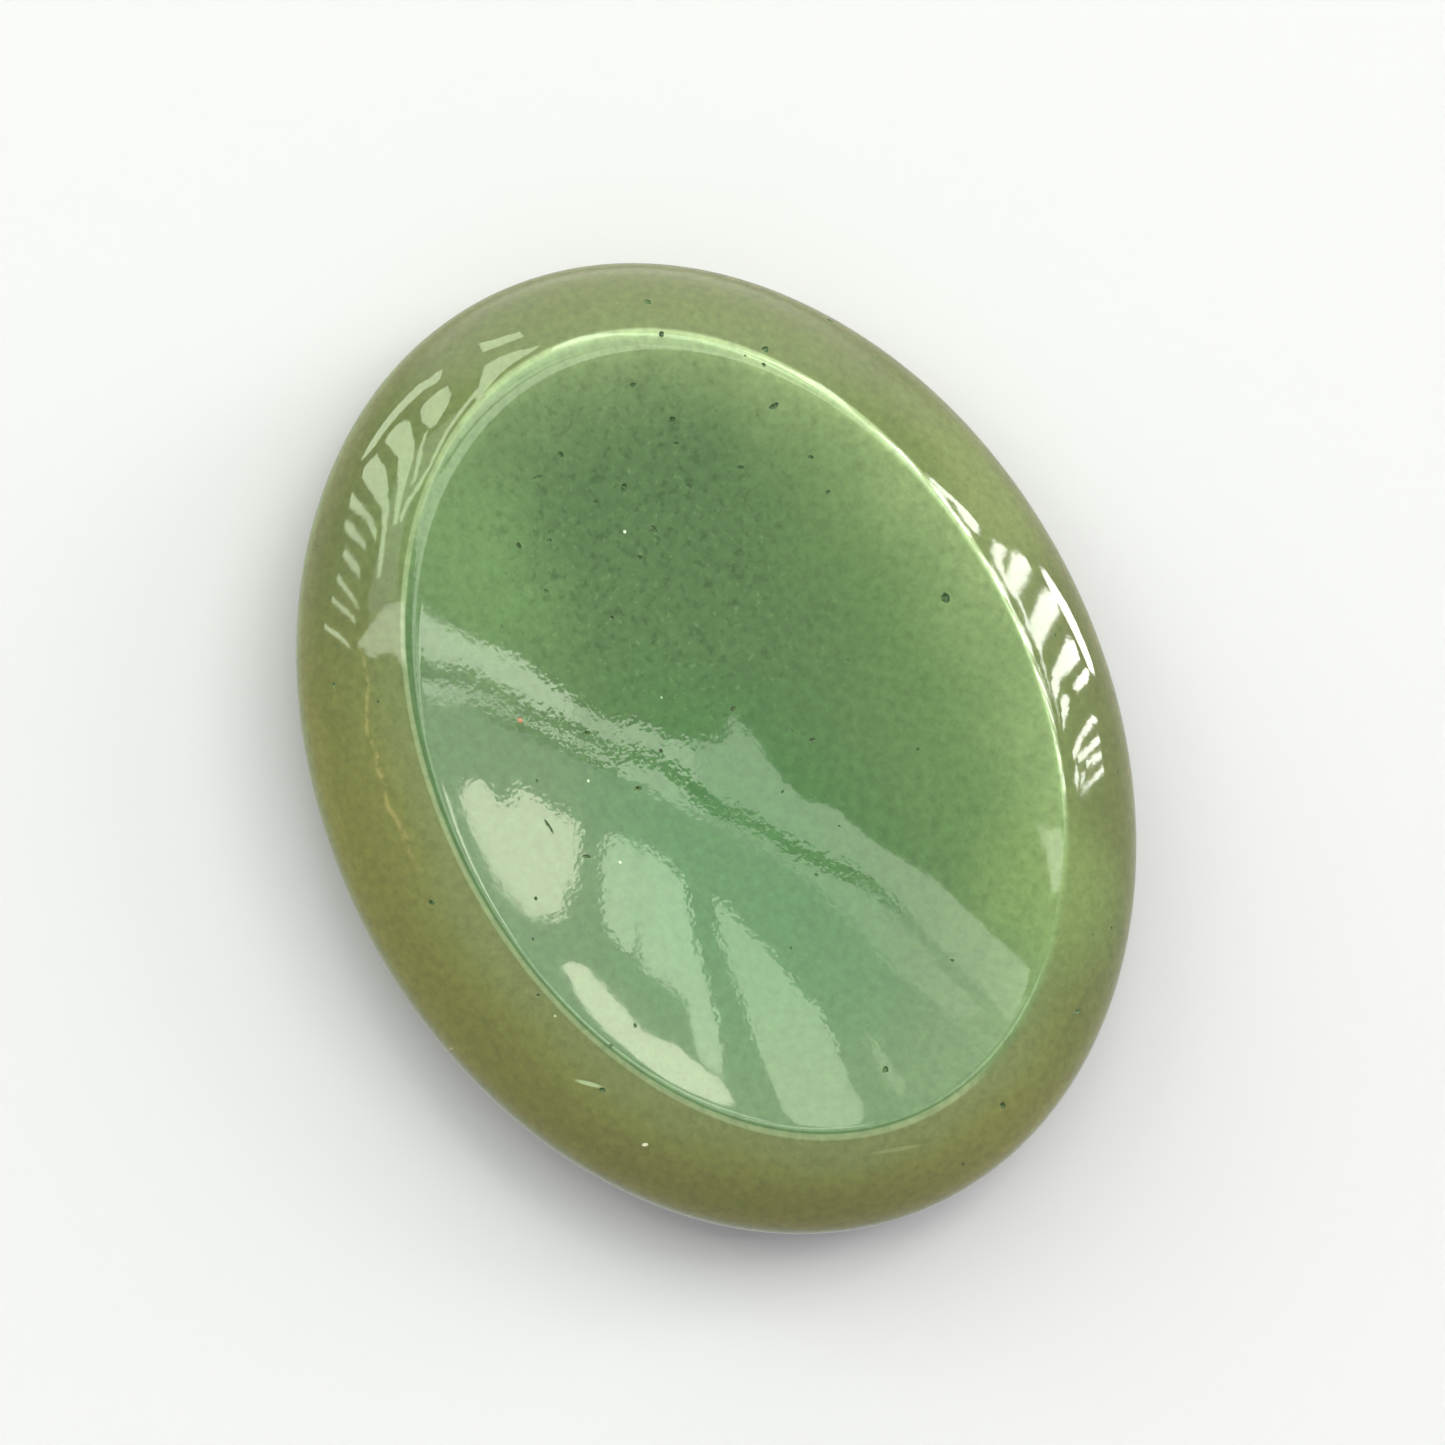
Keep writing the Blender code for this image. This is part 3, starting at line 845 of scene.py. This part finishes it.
# The windows and slats that the rim mirrors at the left, and two curved streaks beside them, each
# of these by the places it runs through and its width at both ends
LEFT_GLOW = 6.9
LEFT_TINT = "eeffe0"
LEFT_PANES = [
    [
        (-0.38, 0.717), (-0.317, 0.689), (-0.217, 0.661), (-0.184, 0.602), (-0.253, 0.6),
        (-0.306, 0.608),
    ],
    [
        (-0.257, 0.504), (-0.217, 0.517), (-0.164, 0.513), (-0.108, 0.494), (-0.124, 0.47),
        (-0.156, 0.444), (-0.175, 0.411), (-0.179, 0.333), (-0.218, 0.373), (-0.23, 0.432),
    ],
    [
        (-0.487, 0.659), (-0.52, 0.668), (-0.546, 0.656), (-0.626, 0.676), (-0.75, 0.632),
        (-0.851, 0.566), (-0.879, 0.516), (-0.815, 0.496), (-0.737, 0.5), (-0.691, 0.531),
        (-0.525, 0.585), (-0.465, 0.571), (-0.45, 0.588),
    ],
    [
        (-0.367, 0.499), (-0.401, 0.505), (-0.435, 0.497), (-0.456, 0.484), (-0.449, 0.457),
        (-0.398, 0.4), (-0.333, 0.352), (-0.307, 0.348), (-0.305, 0.397), (-0.316, 0.431),
    ],
    [
        (-0.536, 0.48), (-0.584, 0.493), (-0.627, 0.491), (-0.633, 0.467), (-0.445, 0.338),
        (-0.379, 0.256), (-0.341, 0.182), (-0.321, 0.177), (-0.345, 0.292), (-0.371, 0.333),
        (-0.484, 0.446),
    ],
    [
        (-0.659, 0.439), (-0.719, 0.447), (-0.762, 0.44), (-0.734, 0.399), (-0.434, 0.229),
        (-0.399, 0.189), (-0.374, 0.12), (-0.354, 0.123), (-0.355, 0.147), (-0.387, 0.215),
        (-0.458, 0.293), (-0.508, 0.339),
    ],
    [
        (-0.817, 0.389), (-0.782, 0.336), (-0.541, 0.243), (-0.42, 0.176), (-0.433, 0.197),
        (-0.492, 0.232),
    ],
    [(-0.81, 0.316), (-0.73, 0.267), (-0.481, 0.177), (-0.494, 0.192), (-0.676, 0.27)],
    [(-0.695, 0.227), (-0.714, 0.216), (-0.491, 0.138), (-0.504, 0.156), (-0.551, 0.177)],
    [(-0.713, 0.182), (-0.742, 0.175), (-0.636, 0.142), (-0.465, 0.093), (-0.505, 0.112)],
    [(-0.756, 0.147), (-0.779, 0.14), (-0.489, 0.077), (-0.499, 0.086)],
    [(-0.854, 0.1), (-0.87, 0.093), (-0.5, 0.045), (-0.598, 0.067)],
]
LEFT_STREAKS = [
    ([
        (-0.207, 0.411), (-0.225, 0.365), (-0.243, 0.316), (-0.25, 0.279), (-0.254, 0.244),
        (-0.271, 0.221), (-0.299, 0.202), (-0.31, 0.178),
    ], 0.022, 0.018),
    ([(-0.344, 0.348), (-0.33, 0.308), (-0.31, 0.268), (-0.3, 0.234)], 0.012, 0.016),
]
for number, corners in enumerate(LEFT_PANES + [ribbon(*streak) for streak in LEFT_STREAKS]):
    hang_panel(f"left_pane_{number}", corners, LEFT_GLOW, LEFT_TINT)

# The brighter windows and slats that it mirrors at the right
RIGHT_GLOW = 16.0
RIGHT_TINT = "fffffa"
RIGHT_PANES = [
    [
        (0.483, 0.396), (0.51, 0.387), (0.552, 0.382), (0.564, 0.374), (0.544, 0.348),
        (0.53, 0.344), (0.514, 0.373), (0.495, 0.378),
    ],
    [
        (0.605, 0.371), (0.56, 0.331), (0.552, 0.314), (0.556, 0.293), (0.564, 0.284),
        (0.558, 0.291), (0.57, 0.313), (0.597, 0.342), (0.686, 0.403),
    ],
    [
        (0.704, 0.406), (0.793, 0.454), (0.838, 0.469), (0.836, 0.45), (0.585, 0.292),
        (0.573, 0.254), (0.588, 0.242), (0.574, 0.278), (0.56, 0.286), (0.56, 0.3),
    ],
    [
        (0.908, 0.442), (1.007, 0.481), (1.034, 0.468), (0.975, 0.426), (0.619, 0.249),
        (0.593, 0.226), (0.602, 0.176), (0.593, 0.232), (0.579, 0.244), (0.593, 0.263),
        (0.769, 0.37),
    ],
    [
        (0.921, 0.359), (1.073, 0.406), (1.07, 0.381), (1.055, 0.362), (0.673, 0.221),
        (0.609, 0.183), (0.606, 0.159), (0.606, 0.2), (0.629, 0.22),
    ],
    [
        (1.001, 0.53), (1.084, 0.568), (1.229, 0.572), (1.31, 0.564), (1.362, 0.539),
        (1.441, 0.473), (1.392, 0.427), (1.23, 0.389), (1.151, 0.427), (1.003, 0.468),
        (0.976, 0.489),
    ],
    [
        (1.136, 0.368), (1.22, 0.388), (1.087, 0.331), (0.95, 0.286), (0.846, 0.253),
        (0.781, 0.241), (0.866, 0.275), (0.984, 0.317),
    ],
    [(0.677, 0.208), (0.726, 0.216), (0.633, 0.17), (0.612, 0.154), (0.626, 0.181), (0.639, 0.192)],
    [
        (0.989, 0.251), (1.1, 0.263), (0.894, 0.208), (0.773, 0.174), (0.647, 0.129),
        (0.641, 0.137), (0.685, 0.155), (0.797, 0.193),
    ],
    [(1.027, 0.221), (1.067, 0.214), (0.685, 0.13), (0.675, 0.137)],
    [(1.032, 0.191), (1.034, 0.18), (0.764, 0.131), (0.763, 0.14)],
    [(1.027, 0.164), (1.031, 0.154), (0.736, 0.103), (0.657, 0.09), (0.719, 0.106)],
    [(0.658, 0.126), (0.672, 0.114), (0.647, 0.095), (0.635, 0.106)],
    [(0.75, 0.128), (0.715, 0.112), (0.67, 0.099), (0.689, 0.115)],
]
for number, corners in enumerate(RIGHT_PANES):
    hang_panel(f"right_pane_{number}", corners, RIGHT_GLOW, RIGHT_TINT)

# The room itself, dim all round and brighter towards the wall on the far side
ROOM_GLOW = 0.56
WALL_GLOW = 1.55
WALL_STARTS = 0.62
WALL_FULL = 0.82
room = bpy.data.worlds.new("dim_white_room")
room.use_nodes = True
towards = add_node(room, "ShaderNodeTexCoord").outputs["Generated"]
far_side = add_node(room, "ShaderNodeVectorMath", TOWARDS, _0=towards, _1=picture_up)
room_glow = add_node(room, "ShaderNodeMapRange", SOFTLY, Value=far_side.outputs["Value"],
                     From_Min=WALL_STARTS, From_Max=WALL_FULL, To_Min=ROOM_GLOW, To_Max=WALL_GLOW)
background = room.node_tree.nodes["Background"]
background.inputs["Color"].default_value = linear("ffffff")
room.node_tree.links.new(room_glow.outputs[0], background.inputs["Strength"])
bpy.context.scene.world = room
bpy.context.scene.view_settings.view_transform = "Standard"
